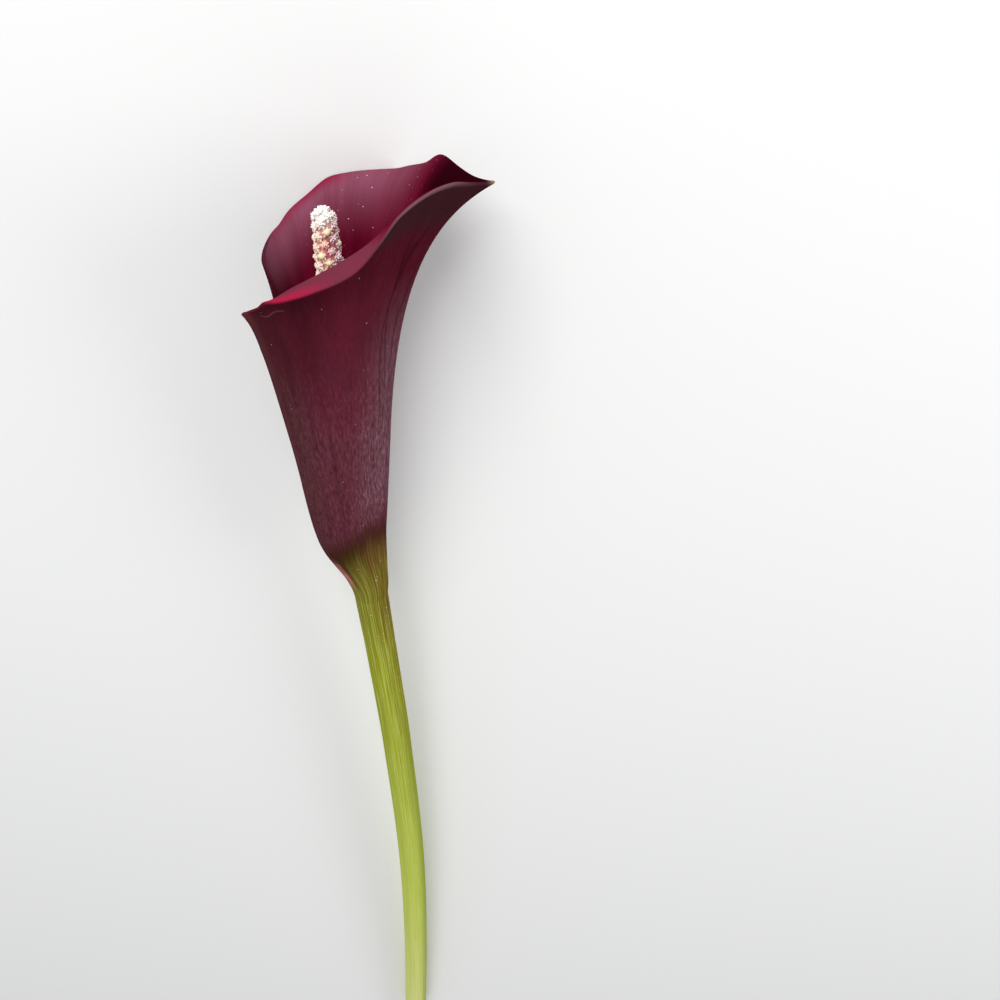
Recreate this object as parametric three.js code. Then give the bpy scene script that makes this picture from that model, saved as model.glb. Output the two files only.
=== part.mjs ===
// Arum lily flower, picked and laid down: a stalk, one wrapped spathe and a spadix.
//
// The flower is modelled upright and the whole group is then laid on its far side.
// Upright, Z runs up the flower's axis from the top of the stalk to the mouth, X points to the
// spathe's tip, and Y points away from the low near lip. A turn of 0 degrees is the tip, 90 the
// far side, 180 the side of the pointed corner and -90 the near lip.
// Lengths are in millimetres and angles in degrees.

import * as THREE from "three";

// Stalk
const STALK_LENGTH = 286;
const STALK_RADIUS = 4.7;
const STALK_SIDES = 20;
const STALK_STEPS = 26;
const STALK_SWELL = 24; // length below the spathe over which it widens to the spathe's foot
const CUT_SLANT = 18; // slope of the cut across the stalk
// Height and sideways place of the stalk's axis: it bows a few millimetres.
const STALK_BOW = [
  [-STALK_LENGTH, -1.6],
  [-217, 2.1],
  [-150, 4.0],
  [-80, 3.1],
  [-40, 1.6],
  [-9, 0.2],
];
const CARRIER_RADIUS = 3.4; // the stalk's narrow top, inside the spathe's foot
const CARRIER_TOP = 5;
const SEAT_GAP = 0.3; // between pieces that touch

// Spathe
const FOOT = -9; // height at which the spathe starts on the stalk
const LIMB_START = 48; // height at which the limb leaves the tube
const LIMB_SHARE = 0.42; // share of the way from foot to rim at which it does
const LIMB_HANDLE = 0.62; // share of the limb's height over which it holds the tube's direction
const FOOT_THICKNESS = 1.2;
const RIM_THICKNESS = 0.8;
const THROAT_X = -3; // sideways place of the mouth's centre
const LAYER_STEP = { outward: 0.72, inward: 1.15 }; // of the two layers where the margins lap
const LAYER_TURNS = { start: 90, full: 170 }; // turns, on both sides, over which they step apart
const LAYER_FOOT = 14; // height over which the step grows from the foot
const LAYER_RIM = 0.25; // share of the way over which it fades before the rim
const OUTER_MARGIN = { foot: -177, top: -188 };
const INNER_MARGIN = { foot: 171, top: 228 };
const LAP_HEIGHT = 30; // the lap grows from the foot up to this height
const TIP_REACH = 7; // of the pointed tip past the rim's stations, and the turn over which it fades
const TIP_SPREAD = 12;
const TAIL_REACH = 2.6; // of the tip's own narrow tail
const TAIL_SPREAD = 2.5;
const KEEL_REACH = 8.5; // of the rounded keel that leads to the tip
const KEEL_SPREAD = 13;
const TUBE_ROWS = 10;
const TUBE_CROWDING = 1.25; // above 1, rows lie closer together at the foot
const LIMB_ROWS = 15;
const COLUMNS = 64;
const COLUMN_CROWDING = { even: 0.45, power: 2.2 }; // share spread evenly; the rest crowds at the tip
const SLOPE_STEP = 0.002; // share of the sheet over which its slope is measured
// Tube: height, sideways place of its centre, outer radius
const TUBE = [
  [FOOT, 0.2, 4.9],
  [-5, 0.2, 5.4],
  [0, -0.4, 6.1],
  [5, -1.3, 7.2],
  [10, -2.3, 8.4],
  [16, -2.9, 9.4],
  [26, -2.9, 10.5],
  [40, -2.6, 11.7],
  [54, -2.5, 13.1],
  [70, -2.5, 15.2],
];
// Rim: turn, reach from the throat's centre, height, flare from upright, length of the curl
const RIM = [
  [-188, 18.6, 83.2, 46, 6],
  [-178, 19.2, 84.6, 44, 7],
  [-166, 18.7, 86.7, 34, 7],
  [-142, 18.7, 91.1, 35, 7],
  [-122, 20.8, 95.2, 50, 7],
  [-112, 22.6, 98.2, 72, 8],
  [-100, 25.2, 100.4, 112, 11],
  [-82, 28.6, 104.6, 126, 13],
  [-66, 30.2, 108.4, 128, 13],
  [-54, 29.4, 113.0, 90, 10],
  [-43, 28.6, 116.9, 52, 10],
  [-28, 29.0, 119.0, 45, 14],
  [-12, 29.8, 118.6, 46, 16],
  [0, 30.6, 116.2, 60, 17],
  [12, 30.6, 116.6, 54, 16],
  [25, 30.4, 116.9, 50, 12],
  [38, 30.8, 112.8, 60, 11],
  [52, 32.4, 109.4, 75, 9],
  [62, 33.2, 107.1, 85, 9],
  [82, 28.9, 106.4, 85, 9],
  [92, 28.7, 105.0, 82, 8],
  [103, 29.6, 100.6, 75, 8],
  [113, 27.4, 98.4, 62, 8],
  [121, 24.2, 97.0, 49, 8],
  [128, 22.6, 96.2, 42, 8],
  [135, 20.6, 95.6, 35, 8],
  [152, 16.5, 94.2, 12, 9],
  [166, 13.2, 93.4, 4, 9],
  [180, 11.1, 91.5, 2, 9],
  [205, 10.8, 82.0, 2, 9],
  [230, 11.2, 66.0, 2, 6],
];

// Spadix
const SPADIX_X = -0.45; // sideways place of its axis
const SPADIX_TOP = 110.8;
const SPADIX_CORE = 2.5;
const SPADIX_DOME = 3.2; // height over which its top rounds off
const SPADIX_CROWN = 0.26; // radius left at the very top, against the core's
const FLORETS_AROUND = 9;
const FLORET_PITCH = 1.75; // between rows of florets
const FLORET_RISE = { least: 0.5, most: 0.85 };
const FLORET_SIZE = { least: 0.34, most: 0.5 }; // of a floret's blunt top against its cell
const FLORET_LEAN = 0.16; // sideways, against its cell
const FLORET_SEED = 7;

// The pose that it rests in: mouth end raised, and rolled a little about its axis
const LAY_TILT = 3.62;
const LAY_ROLL = -0.58;

const radians = THREE.MathUtils.degToRad;
const clamp = THREE.MathUtils.clamp;
const lerp = THREE.MathUtils.lerp;
const ease = (t) => THREE.MathUtils.smoothstep(t, 0, 1);

// A smooth curve through rows of numbers: reads one column at any place along the first one.
function stationCurve(stations, column) {
  const keys = stations.map((row) => row[0]);
  const values = stations.map((row) => row[column]);
  const last = keys.length - 1;
  const slopes = keys.map((_, i) => {
    const before = Math.max(i - 1, 0);
    const after = Math.min(i + 1, last);
    return (values[after] - values[before]) / (keys[after] - keys[before]);
  });
  return (place) => {
    const at = clamp(place, keys[0], keys[last]);
    const i = Math.min(Math.max(keys.findIndex((key) => key >= at) - 1, 0), last - 1);
    const gap = keys[i + 1] - keys[i];
    const t = (at - keys[i]) / gap;
    const start = values[i] * (2 * t ** 3 - 3 * t ** 2 + 1) + slopes[i] * gap * (t ** 3 - 2 * t ** 2 + t);
    const end = values[i + 1] * (3 * t ** 2 - 2 * t ** 3) + slopes[i + 1] * gap * (t ** 3 - t ** 2);
    return start + end;
  };
}

// Small seeded generator, so that every run draws the same numbers.
function seededDraw(seed) {
  let state = seed;
  return () => {
    state = (state + 0x6d2b79f5) | 0;
    let mixed = Math.imul(state ^ (state >>> 15), 1 | state);
    mixed = (mixed + Math.imul(mixed ^ (mixed >>> 7), 61 | mixed)) ^ mixed;
    return ((mixed ^ (mixed >>> 14)) >>> 0) / 4294967296;
  };
}

function solid(name, points, triangles, look) {
  const geometry = new THREE.BufferGeometry();
  const positions = new Float32Array(points.flatMap((point) => point.toArray()));
  geometry.setAttribute("position", new THREE.BufferAttribute(positions, 3));
  geometry.setIndex(triangles);
  geometry.computeVertexNormals();
  const mesh = new THREE.Mesh(geometry, new THREE.MeshStandardMaterial(look));
  mesh.name = name;
  return mesh;
}

// Triangles between neighbouring rings of equal length, and a fan over each end. The last two
// points are the centres of the first and the last ring.
function loftTriangles(ringCount, sides) {
  const triangles = [];
  const bottomCentre = ringCount * sides;
  const topCentre = bottomCentre + 1;
  const topRing = (ringCount - 1) * sides;
  for (let k = 0; k < sides; k += 1) {
    const next = (k + 1) % sides;
    for (let ring = 0; ring < ringCount - 1; ring += 1) {
      const low = ring * sides;
      const high = low + sides;
      triangles.push(low + k, low + next, high + next, low + k, high + next, high + k);
    }
    triangles.push(bottomCentre, next, k, topCentre, topRing + k, topRing + next);
  }
  return triangles;
}

// Stalk: round rings up its bowed axis, a slanted cut below, and the narrow carrier on top.
function makeStalk() {
  const bow = stationCurve(STALK_BOW, 1);
  const shoulder = FOOT - SEAT_GAP;
  const footRadius = stationCurve(TUBE, 2)(FOOT);
  const rings = [];
  for (let step = 0; step <= STALK_STEPS; step += 1) {
    const z = lerp(-STALK_LENGTH, shoulder, step / STALK_STEPS);
    const swell = ease(clamp(1 - (shoulder - z) / STALK_SWELL, 0, 1));
    rings.push({ x: bow(z), z, radius: lerp(STALK_RADIUS, footRadius, swell), slant: 0 });
  }
  rings[0].slant = Math.tan(radians(CUT_SLANT));
  rings.push({ x: bow(FOOT), z: shoulder, radius: CARRIER_RADIUS, slant: 0 });
  rings.push({ x: 0, z: CARRIER_TOP, radius: CARRIER_RADIUS, slant: 0 });

  const points = [];
  for (const { x, z, radius, slant } of rings) {
    for (let k = 0; k < STALK_SIDES; k += 1) {
      const turn = (2 * Math.PI * k) / STALK_SIDES;
      const y = radius * Math.sin(turn);
      points.push(new THREE.Vector3(x + radius * Math.cos(turn), y, z - slant * y));
    }
  }
  const topRing = rings[rings.length - 1];
  points.push(new THREE.Vector3(rings[0].x, 0, rings[0].z));
  points.push(new THREE.Vector3(topRing.x, 0, topRing.z));
  const look = { color: 0x9aa34a, roughness: 0.55, metalness: 0 };
  return solid("stem", points, loftTriangles(rings.length, STALK_SIDES), look);
}

// Spathe: middle of the sheet at a turn and at a share of the way from foot to rim.
const tubeCentre = stationCurve(TUBE, 1);
const tubeRadius = stationCurve(TUBE, 2);
const rimReach = stationCurve(RIM, 1);
const rimHeight = stationCurve(RIM, 2);
const rimFlare = stationCurve(RIM, 3);
const rimCurl = stationCurve(RIM, 4);

function sheetThickness(way) {
  return lerp(FOOT_THICKNESS, RIM_THICKNESS, way);
}

// Where the margins lap, the outer layer steps out and the inner layer steps in.
function layerStep(turn) {
  const { start, full } = LAYER_TURNS;
  const apart = ease(clamp((Math.abs(turn) - start) / (full - start), 0, 1));
  return turn < 0 ? LAYER_STEP.outward * apart : -LAYER_STEP.inward * apart;
}

// The columns' turns: side is -1 at the outer margin, 0 at the tip and 1 at the inner margin.
// Columns crowd round the tip, and the lap narrows towards the foot.
function columnTurn(side, z) {
  const margin = side < 0 ? OUTER_MARGIN : INNER_MARGIN;
  const lap = ease(clamp((z - FOOT) / (LAP_HEIGHT - FOOT), 0, 1));
  const { even, power } = COLUMN_CROWDING;
  const share = even * Math.abs(side) + (1 - even) * Math.abs(side) ** power;
  return lerp(margin.foot, margin.top, lap) * share;
}

function sheetPoint(side, way) {
  const rimTurn = columnTurn(side, LIMB_START);
  let radius;
  let z;
  let centre;
  if (way <= LIMB_SHARE) {
    z = lerp(FOOT, LIMB_START, (way / LIMB_SHARE) ** TUBE_CROWDING);
    radius = tubeRadius(z) - sheetThickness(way) / 2;
    centre = tubeCentre(z);
  } else {
    const startRadius = tubeRadius(LIMB_START) - sheetThickness(LIMB_SHARE) / 2;
    const widening = tubeRadius(LIMB_START + 0.5) - tubeRadius(LIMB_START - 0.5); // per millimetre
    const awayFromTip = Math.abs(rimTurn);
    const tip = TIP_REACH * Math.exp(-awayFromTip / TIP_SPREAD);
    const tail = TAIL_REACH * Math.exp(-awayFromTip / TAIL_SPREAD);
    const reach = rimReach(rimTurn) + tip + tail;
    const bend = rimReach(rimTurn) + KEEL_REACH * Math.exp(-((rimTurn / KEEL_SPREAD) ** 2));
    const height = rimHeight(rimTurn);
    const flare = radians(rimFlare(rimTurn));
    const curl = rimCurl(rimTurn);
    const handle = LIMB_HANDLE * (height - LIMB_START);
    const limb = new THREE.CubicBezierCurve(
      new THREE.Vector2(startRadius, LIMB_START),
      new THREE.Vector2(startRadius + widening * handle, LIMB_START + handle),
      new THREE.Vector2(bend - curl * Math.sin(flare), height - curl * Math.cos(flare)),
      new THREE.Vector2(reach, height),
    );
    const along = (way - LIMB_SHARE) / (1 - LIMB_SHARE);
    const point = limb.getPoint(along);
    radius = point.x;
    z = point.y;
    centre = lerp(tubeCentre(LIMB_START), THROAT_X, along);
  }
  const turn = columnTurn(side, z);
  const grow = clamp((z - FOOT) / LAYER_FOOT, 0, 1);
  const fade = clamp((1 - way) / LAYER_RIM, 0, 1);
  radius += layerStep(turn) * grow * fade;
  const angle = radians(turn);
  return new THREE.Vector3(centre + radius * Math.cos(angle), radius * Math.sin(angle), z);
}

function sheetNormal(side, way) {
  const right = sheetPoint(Math.min(side + SLOPE_STEP, 1), way);
  const left = sheetPoint(Math.max(side - SLOPE_STEP, -1), way);
  const up = sheetPoint(side, Math.min(way + SLOPE_STEP, 1));
  const down = sheetPoint(side, Math.max(way - SLOPE_STEP, 0));
  return right.sub(left).cross(up.sub(down)).normalize();
}

function makeSpathe() {
  const ways = [];
  for (let row = 0; row < TUBE_ROWS; row += 1) {
    ways.push((LIMB_SHARE * row) / TUBE_ROWS);
  }
  for (let row = 0; row <= LIMB_ROWS; row += 1) {
    ways.push(lerp(LIMB_SHARE, 1, row / LIMB_ROWS));
  }
  const rows = ways.length;
  const points = [];
  for (const face of [1, -1]) {
    for (let column = 0; column <= COLUMNS; column += 1) {
      const side = lerp(-1, 1, column / COLUMNS);
      for (const way of ways) {
        const half = (face * sheetThickness(way)) / 2;
        points.push(sheetPoint(side, way).addScaledVector(sheetNormal(side, way), half));
      }
    }
  }
  const outer = (column, row) => column * rows + row;
  const inner = (column, row) => (COLUMNS + 1 + column) * rows + row;
  const triangles = [];
  const quad = (a, b, c, d) => triangles.push(a, b, c, a, c, d);
  for (let column = 0; column < COLUMNS; column += 1) {
    const next = column + 1;
    for (let row = 0; row < rows - 1; row += 1) {
      const above = row + 1;
      quad(outer(column, row), outer(next, row), outer(next, above), outer(column, above));
      triangles.push(inner(column, row), inner(next, above), inner(next, row));
      triangles.push(inner(column, row), inner(column, above), inner(next, above));
    }
    quad(inner(column, 0), inner(next, 0), outer(next, 0), outer(column, 0));
    quad(outer(column, rows - 1), outer(next, rows - 1), inner(next, rows - 1), inner(column, rows - 1));
  }
  for (let row = 0; row < rows - 1; row += 1) {
    const above = row + 1;
    quad(inner(0, row), outer(0, row), outer(0, above), inner(0, above));
    quad(outer(COLUMNS, row), inner(COLUMNS, row), inner(COLUMNS, above), outer(COLUMNS, above));
  }
  const look = { color: 0x561825, roughness: 0.42, metalness: 0, side: THREE.DoubleSide };
  return solid("spathe", points, triangles, look);
}

// Spadix: a core whose whole surface is a lattice of cells, each raised into a blunt floret.
// Lattice places with an even sum are florets, and the others are the dips between them.
function makeSpadix() {
  const foot = CARRIER_TOP + SEAT_GAP;
  const draw = seededDraw(FLORET_SEED);
  const around = 2 * FLORETS_AROUND;
  const rowCount = Math.round((SPADIX_TOP - foot - FLORET_RISE.most) / FLORET_PITCH);
  const top = SPADIX_TOP - FLORET_RISE.least;
  const coreAt = (z) => {
    const domeStart = top - SPADIX_DOME;
    const rise = clamp((z - domeStart) / SPADIX_DOME, 0, 1);
    return SPADIX_CORE * Math.sqrt(1 - (1 - SPADIX_CROWN ** 2) * rise ** 2);
  };
  const place = (row, step, lift, shift = 0) => {
    const z = lerp(foot, top, clamp((row + shift) / rowCount, 0, 1));
    const turn = (2 * Math.PI * step) / around;
    const radius = coreAt(z) + lift;
    return new THREE.Vector3(SPADIX_X + radius * Math.cos(turn), radius * Math.sin(turn), z);
  };

  const points = [];
  const triangles = [];
  const add = (point) => points.push(point) - 1;
  const isFloret = (row, step) => row > 0 && row < rowCount && (row + step) % 2 === 0;
  const dips = [];
  for (let row = 0; row <= rowCount; row += 1) {
    dips.push([]);
    for (let step = 0; step < around; step += 1) {
      dips[row].push(isFloret(row, step) ? null : add(place(row, step, 0)));
    }
  }
  const dip = (row, step) => dips[row][(step + around) % around];

  for (let row = 1; row < rowCount; row += 1) {
    for (let step = 0; step < around; step += 1) {
      if (isFloret(row, step)) {
        const rise = lerp(FLORET_RISE.least, FLORET_RISE.most, draw());
        const lean = lerp(-FLORET_LEAN, FLORET_LEAN, draw());
        const size = lerp(FLORET_SIZE.least, FLORET_SIZE.most, draw());
        const corners = [dip(row, step - 1), dip(row - 1, step), dip(row, step + 1), dip(row + 1, step)];
        const crown = [
          add(place(row, step - size + lean, rise)),
          add(place(row, step + lean, rise, -size)),
          add(place(row, step + size + lean, rise)),
          add(place(row, step + lean, rise, size)),
        ];
        for (let k = 0; k < 4; k += 1) {
          const next = (k + 1) % 4;
          triangles.push(corners[k], corners[next], crown[next], corners[k], crown[next], crown[k]);
        }
        triangles.push(crown[0], crown[1], crown[2], crown[0], crown[2], crown[3]);
      }
    }
  }

  // The rows of dips at both ends have no floret, so half of their cells are flat triangles.
  for (let step = 0; step < around; step += 1) {
    if (isFloret(1, step + 1)) {
      triangles.push(dip(0, step), dip(0, step + 1), dip(1, step));
    } else {
      triangles.push(dip(0, step), dip(0, step + 1), dip(1, step + 1));
    }
    if (isFloret(rowCount - 1, step + 1)) {
      triangles.push(dip(rowCount, step), dip(rowCount - 1, step), dip(rowCount, step + 1));
    } else {
      triangles.push(dip(rowCount, step), dip(rowCount - 1, step + 1), dip(rowCount, step + 1));
    }
  }
  const bottomCentre = add(new THREE.Vector3(SPADIX_X, 0, foot));
  const topCentre = add(new THREE.Vector3(SPADIX_X, 0, SPADIX_TOP));
  for (let step = 0; step < around; step += 1) {
    triangles.push(bottomCentre, dip(0, step + 1), dip(0, step));
    triangles.push(topCentre, dip(rowCount, step), dip(rowCount, step + 1));
  }
  const look = { color: 0xf0e0cc, roughness: 0.75, metalness: 0 };
  return solid("spadix", points, triangles, look);
}

const flower = new THREE.Group();
flower.add(makeStalk(), makeSpathe(), makeSpadix());
flower.rotation.set(radians(LAY_TILT - 90), 0, radians(LAY_ROLL));

// Put the middle of the laid flower over the origin and its lowest point on the surface.
const box = new THREE.Box3().setFromObject(flower, true);
const middle = box.getCenter(new THREE.Vector3());
flower.position.set(-middle.x, -middle.y, -box.min.z);

const part = new THREE.Group();
part.add(flower);

export default part;
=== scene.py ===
import functools
import math

import bmesh
import bpy
import numpy as np
from mathutils import Euler, Matrix, Vector


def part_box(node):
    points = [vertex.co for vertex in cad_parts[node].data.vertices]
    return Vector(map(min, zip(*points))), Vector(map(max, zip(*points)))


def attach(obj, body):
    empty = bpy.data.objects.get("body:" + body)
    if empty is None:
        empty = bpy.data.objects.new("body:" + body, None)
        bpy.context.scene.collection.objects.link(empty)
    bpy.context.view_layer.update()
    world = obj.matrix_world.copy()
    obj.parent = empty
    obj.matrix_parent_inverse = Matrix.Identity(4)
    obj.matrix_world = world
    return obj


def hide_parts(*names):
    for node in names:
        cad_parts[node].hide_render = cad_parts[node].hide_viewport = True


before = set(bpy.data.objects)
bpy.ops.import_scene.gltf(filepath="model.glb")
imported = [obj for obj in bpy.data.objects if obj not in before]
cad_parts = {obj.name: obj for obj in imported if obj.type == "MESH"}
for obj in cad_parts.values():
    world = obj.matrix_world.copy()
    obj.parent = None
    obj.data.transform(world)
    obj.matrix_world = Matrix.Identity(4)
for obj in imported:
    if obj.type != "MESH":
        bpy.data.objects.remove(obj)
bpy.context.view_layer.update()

# Shapes are worked out in the flower's own frame, in millimetres and degrees, with the flower upright:
# Z runs up its axis from the top of the stalk, X points to the spathe's tip and Y away from the low near
# lip. A turn of 0 degrees is the tip, 90 the far side, 180 the pointed corner and -90 the near lip.
MM = 0.001
LAY_TILT = 3.62  # from lying straight, so that it rests on the rim and on the stalk's cut
LAY_ROLL = -0.58

# Stalk
STALK_LENGTH = 286.0
STALK_RADIUS = 4.7
STALK_SIDES = 96
STALK_RINGS = 230
STALK_SWELL = 24.0  # length in which it widens to meet the spathe's foot
# Height and sideways place of its middle
STALK_BOW = [(-286, -1.6), (-217, 2.1), (-150, 4.0), (-80, 3.1), (-40, 1.6), (-9, 0.2)]
# Inside the spathe's foot: height and radius of the stalk's hidden top
STALK_TOP = [(-9.02, 4.9), (-8.9, 4.86), (-8.2, 4.6), (-6.0, 3.9), (-2.0, 3.4), (5.0, 3.4)]
# Lengthwise ridges: how many go round the stalk, share of their height, phase
RIDGES = [(7, 1.0, 0.4), (11, 0.7, 2.0), (17, 0.6, 1.0)]
RIDGE_HEIGHT = 0.05
RIDGE_REACH = (-STALK_LENGTH, -STALK_LENGTH + 4.0, -30.0, -12.0)
RIDGE_SWAY = 0.3  # share of their height that comes and goes along the stalk
RIDGE_WAVE = 31.0  # and the length in which it does so by a radian
CUT_SLANT = 18.0
CUT_BLEND = 3.0  # length in which the stalk's rings take on the slant
CUT_RINGS = [0.0, 0.12, 0.3, 0.5, 0.7, 0.84, 0.93, 0.98]  # on the cut's face, as shares of the radius
DISH_DEPTH = 0.35
DISH_SHARES = (0.95, 0.75)  # of the radius, where the dish inside the firmer skin starts and is full

# Spathe, as in the solids
FOOT = -9.0
LIMB_START = 48.0  # height at which the round tube ends and the widening limb starts
LIMB_SHARE = 0.42  # share of the way at which it does
LIMB_HANDLE = 0.62  # share of the limb's height for which the tube's line still leads it
FOOT_THICKNESS = 1.2
RIM_THICKNESS = 0.8
THROAT_X = -3.0
LAYER_OUTWARD = 0.72  # how far the sheet steps out towards its outer margin
LAYER_INWARD = 1.15  # and in towards its inner one
LAYER_START = 90.0  # turns between which it does so
LAYER_FULL = 170.0
LAYER_FOOT = 14.0  # height above the foot at which the step is full
LAYER_RIM = 0.25  # share of the way in which it fades to the rim
OUTER_MARGIN = (-177.0, -188.0)  # turn at the foot and above the lap
INNER_MARGIN = (171.0, 228.0)
LAP_HEIGHT = 30.0
# How far the tip, its thin tail and the keel under it stand out, and the turn in which they fade
TIP_REACH = 7.0
TIP_SPREAD = 12.0
TAIL_REACH = 2.6
TAIL_SPREAD = 2.5
KEEL_REACH = 8.5
KEEL_SPREAD = 13.0
TUBE_CROWDING = 1.25  # how rows crowd towards the foot, and columns towards the tip
COLUMN_EVEN = 0.45
COLUMN_POWER = 2.2
NORMAL_STEP = 0.002  # of side and way, to find the sheet's slope
# Rows and columns of the solid, whose corners set its box
CAD_TUBE_ROWS = 10
CAD_LIMB_ROWS = 15
CAD_COLUMNS = 64
# Height, sideways place of the centre, outer radius
TUBE = [
    (-9, 0.2, 4.9), (-5, 0.2, 5.4), (0, -0.4, 6.1), (5, -1.3, 7.2), (10, -2.3, 8.4),
    (16, -2.9, 9.4), (26, -2.9, 10.5), (40, -2.6, 11.7), (54, -2.5, 13.1), (70, -2.5, 15.2),
]
# Turn, reach from the throat's centre, height, flare from upright, length of the curl
RIM = [
    (-188, 18.6, 83.2, 46, 6),
    (-178, 19.2, 84.6, 44, 7),
    (-166, 18.7, 86.7, 34, 7),
    (-142, 18.7, 91.1, 35, 7),
    (-122, 20.8, 95.2, 50, 7),
    (-112, 22.6, 98.2, 72, 8),
    (-100, 25.2, 100.4, 112, 11),
    (-82, 28.6, 104.6, 126, 13),
    (-66, 30.2, 108.4, 128, 13),
    (-54, 29.4, 113.0, 90, 10),
    (-43, 28.6, 116.9, 52, 10),
    (-28, 29.0, 119.0, 45, 14),
    (-12, 29.8, 118.6, 46, 16),
    (0, 30.6, 116.2, 60, 17),
    (12, 30.6, 116.6, 54, 16),
    (25, 30.4, 116.9, 50, 12),
    (38, 30.8, 112.8, 60, 11),
    (52, 32.4, 109.4, 75, 9),
    (62, 33.2, 107.1, 85, 9),
    (82, 28.9, 106.4, 85, 9),
    (92, 28.7, 105.0, 82, 8),
    (103, 29.6, 100.6, 75, 8),
    (113, 27.4, 98.4, 62, 8),
    (121, 24.2, 97.0, 49, 8),
    (128, 22.6, 96.2, 42, 8),
    (135, 20.6, 95.6, 35, 8),
    (152, 16.5, 94.2, 12, 9),
    (166, 13.2, 93.4, 4, 9),
    (180, 11.1, 91.5, 2, 9),
    (205, 10.8, 82.0, 2, 9),
    (230, 11.2, 66.0, 2, 6),
]

# Fine spathe: its mesh, and where its edge rounds off
TUBE_ROWS = 40
LIMB_ROWS = 70
COLUMNS = 260
EDGE_STEPS = (0.0, 0.06, 0.2, 0.45, 0.75, 1.0)  # shares of the rounded edge's width
EDGE_WAY = 0.006  # that width along the sheet, as a share of its way
EDGE_SIDE = 0.006  # and across it, as a share of half its breadth
# Ribs: how many go round, share of their height, phase, sway, and the height in which they sway a radian
RIBS = [(39.6, 0.5, 0.0, 0.8, 17.0), (67.9, 0.3, 1.1, 1.3, 23.0), (26.3, 0.2, 2.0, -0.9, 17.0)]
RIB_HEIGHT = 0.04
RIB_FOOT = 20.0  # height above the foot at which they are full
RIB_RIM = 0.08  # share of the way in which they fade to the rim
# Creases on the outside, each from low to high: height, turn
CREASES = [
    [(52, -34), (66, -34.4), (81, -34.6), (87.5, -29.7), (94, -21), (106, -17)],
    [(60, -25), (74, -27), (89.7, -26.8), (95.4, -19), (100.2, -14.9), (108, -9)],
    [(66, -19), (82.4, -14.9), (89, -9), (96.4, -5)],
]
CREASE_DEPTH = 0.16
CREASE_WIDTH = 1.2  # degrees of turn
CREASE_START = (-8.0, 20.0)  # above its lowest point, where it starts and is full
CREASE_END = (-6.0, 3.0)  # above its highest point, where it fades and ends

# Where tints of the spathe show, by turn and height: each starts, is full, fades and ends; then its strength
HEIGHT_TINTS = {
    "red": ((-108, -88, -38, -8), (52, 68, 92, 108), 0.8),
    # brownish tone on the outer margin's side, partly painted reflection of green near its outline
    "brown": ((-240, -200, -128, -104), (-6, 12, 96, 112), 0.8),
    "shade": ((-150, -130, -96, -80), (60, 85, 125, 135), 0.8),
    "pink": ((-172, -148, -124, -114), (-4, 2, 5, 12), 1.0),
    # painted shadow line along the edge of the pale pink strip at the foot
    "margin_shadow": ((-122, -115, -113, -106), (-5, 0, 6, 13), 1.0),
}
# And by turn up to the rim: the share of the way at which each starts and is full; then its strength
RIM_TINTS = {
    "band": ((-66, -46, -4, 10), (0.8, 0.89), 1.0),
    "corner": ((-250, -200, -150, -122), (0.84, 0.98), 1.0),
    # painted sheen on the far wall
    "mauve_sheen": ((16, 74, 158, 190), (0.72, 0.94), 1.0),
    "dusk": ((-20, 0, 14, 30), (0.72, 0.92), 1.0),
    "dusted": ((18, 40, 92, 112), (0.7, 0.8), 1.0),
    "lip": ((-120, -108, -90, -72), (0.952, 0.995), 1.0),
    # painted sheen on the fold of the rolled lip
    "lip_sheen": ((-112, -102, -58, -46), (0.84, 0.92), 1.0),
    # painted highlights along the rolled rim's crest, near the tip
    "edge_highlight": ((-68, -34, -16, 0), (0.984, 0.996), 0.65),
    "tip_edge_highlight": ((3, 7, 20, 30), (0.984, 0.996), 0.39),
    "dim_edge": ((124, 138, 200, 235), (0.984, 0.996), 0.7),
    "tan": ((-0.8, -0.3, 0.3, 0.8), (0.9915, 0.9975), 1.0),
}
# Painted sheen on the lower outside: its turns, how they lean with height, and its heights
SHEEN_TURNS = (-102.0, -50.0, 20.0, 50.0)  # at height 0
SHEEN_LEANS = (0.45, 0.42)  # degrees that the first two move on with each millimetre up
SHEEN_HEIGHTS = (20.0, 36.0, 70.0, 100.0)
# Painted light shining through the far wall's thin rim: its turns and ways
GLOW_TURNS = (76.0, 92.0, 122.0, 138.0)
GLOW_WAYS = (0.9, 0.98)
GLOW_NARROWS = 0.0012  # share of the way by which it starts later with each degree, between these turns
NARROW_TURNS = (85.0, 125.0)
# Where the burgundy ends at the foot: its middle height, and how much higher it lies at one turn
FADE_HEIGHT = 9.0
FADE_SWING = 11.5
FADE_TURN = -52.0
# Heights above that place between which it turns brown, then olive, then the stalk's green
FADE_TO_BROWN = (7.0, -1.0)
FADE_TO_OLIVE = (1.5, -6.0)
FADE_FROM_STALK = (-14.0, -2.0)
FADE_HAIRS = (-2.2, 2.2)  # how far hairs and streaks carry the colours up and down
FADE_STREAKS = (-1.5, 1.5)
# Turns between which the stalk has a brownish tint, and those of its side with painted shade
BROWNED_TURNS = (-84.0, -50.0, 40.0, 80.0)
BROWNED_SHARE = 0.75
STALK_SHADE_TURNS = (-78.0, -14.0, 40.0, 100.0)
GRAIN_RADIUS = 10.0  # at which streaks are as wide as the material states

NOISE = (0.3, 0.7)  # range that nearly all of a noise lies in

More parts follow.
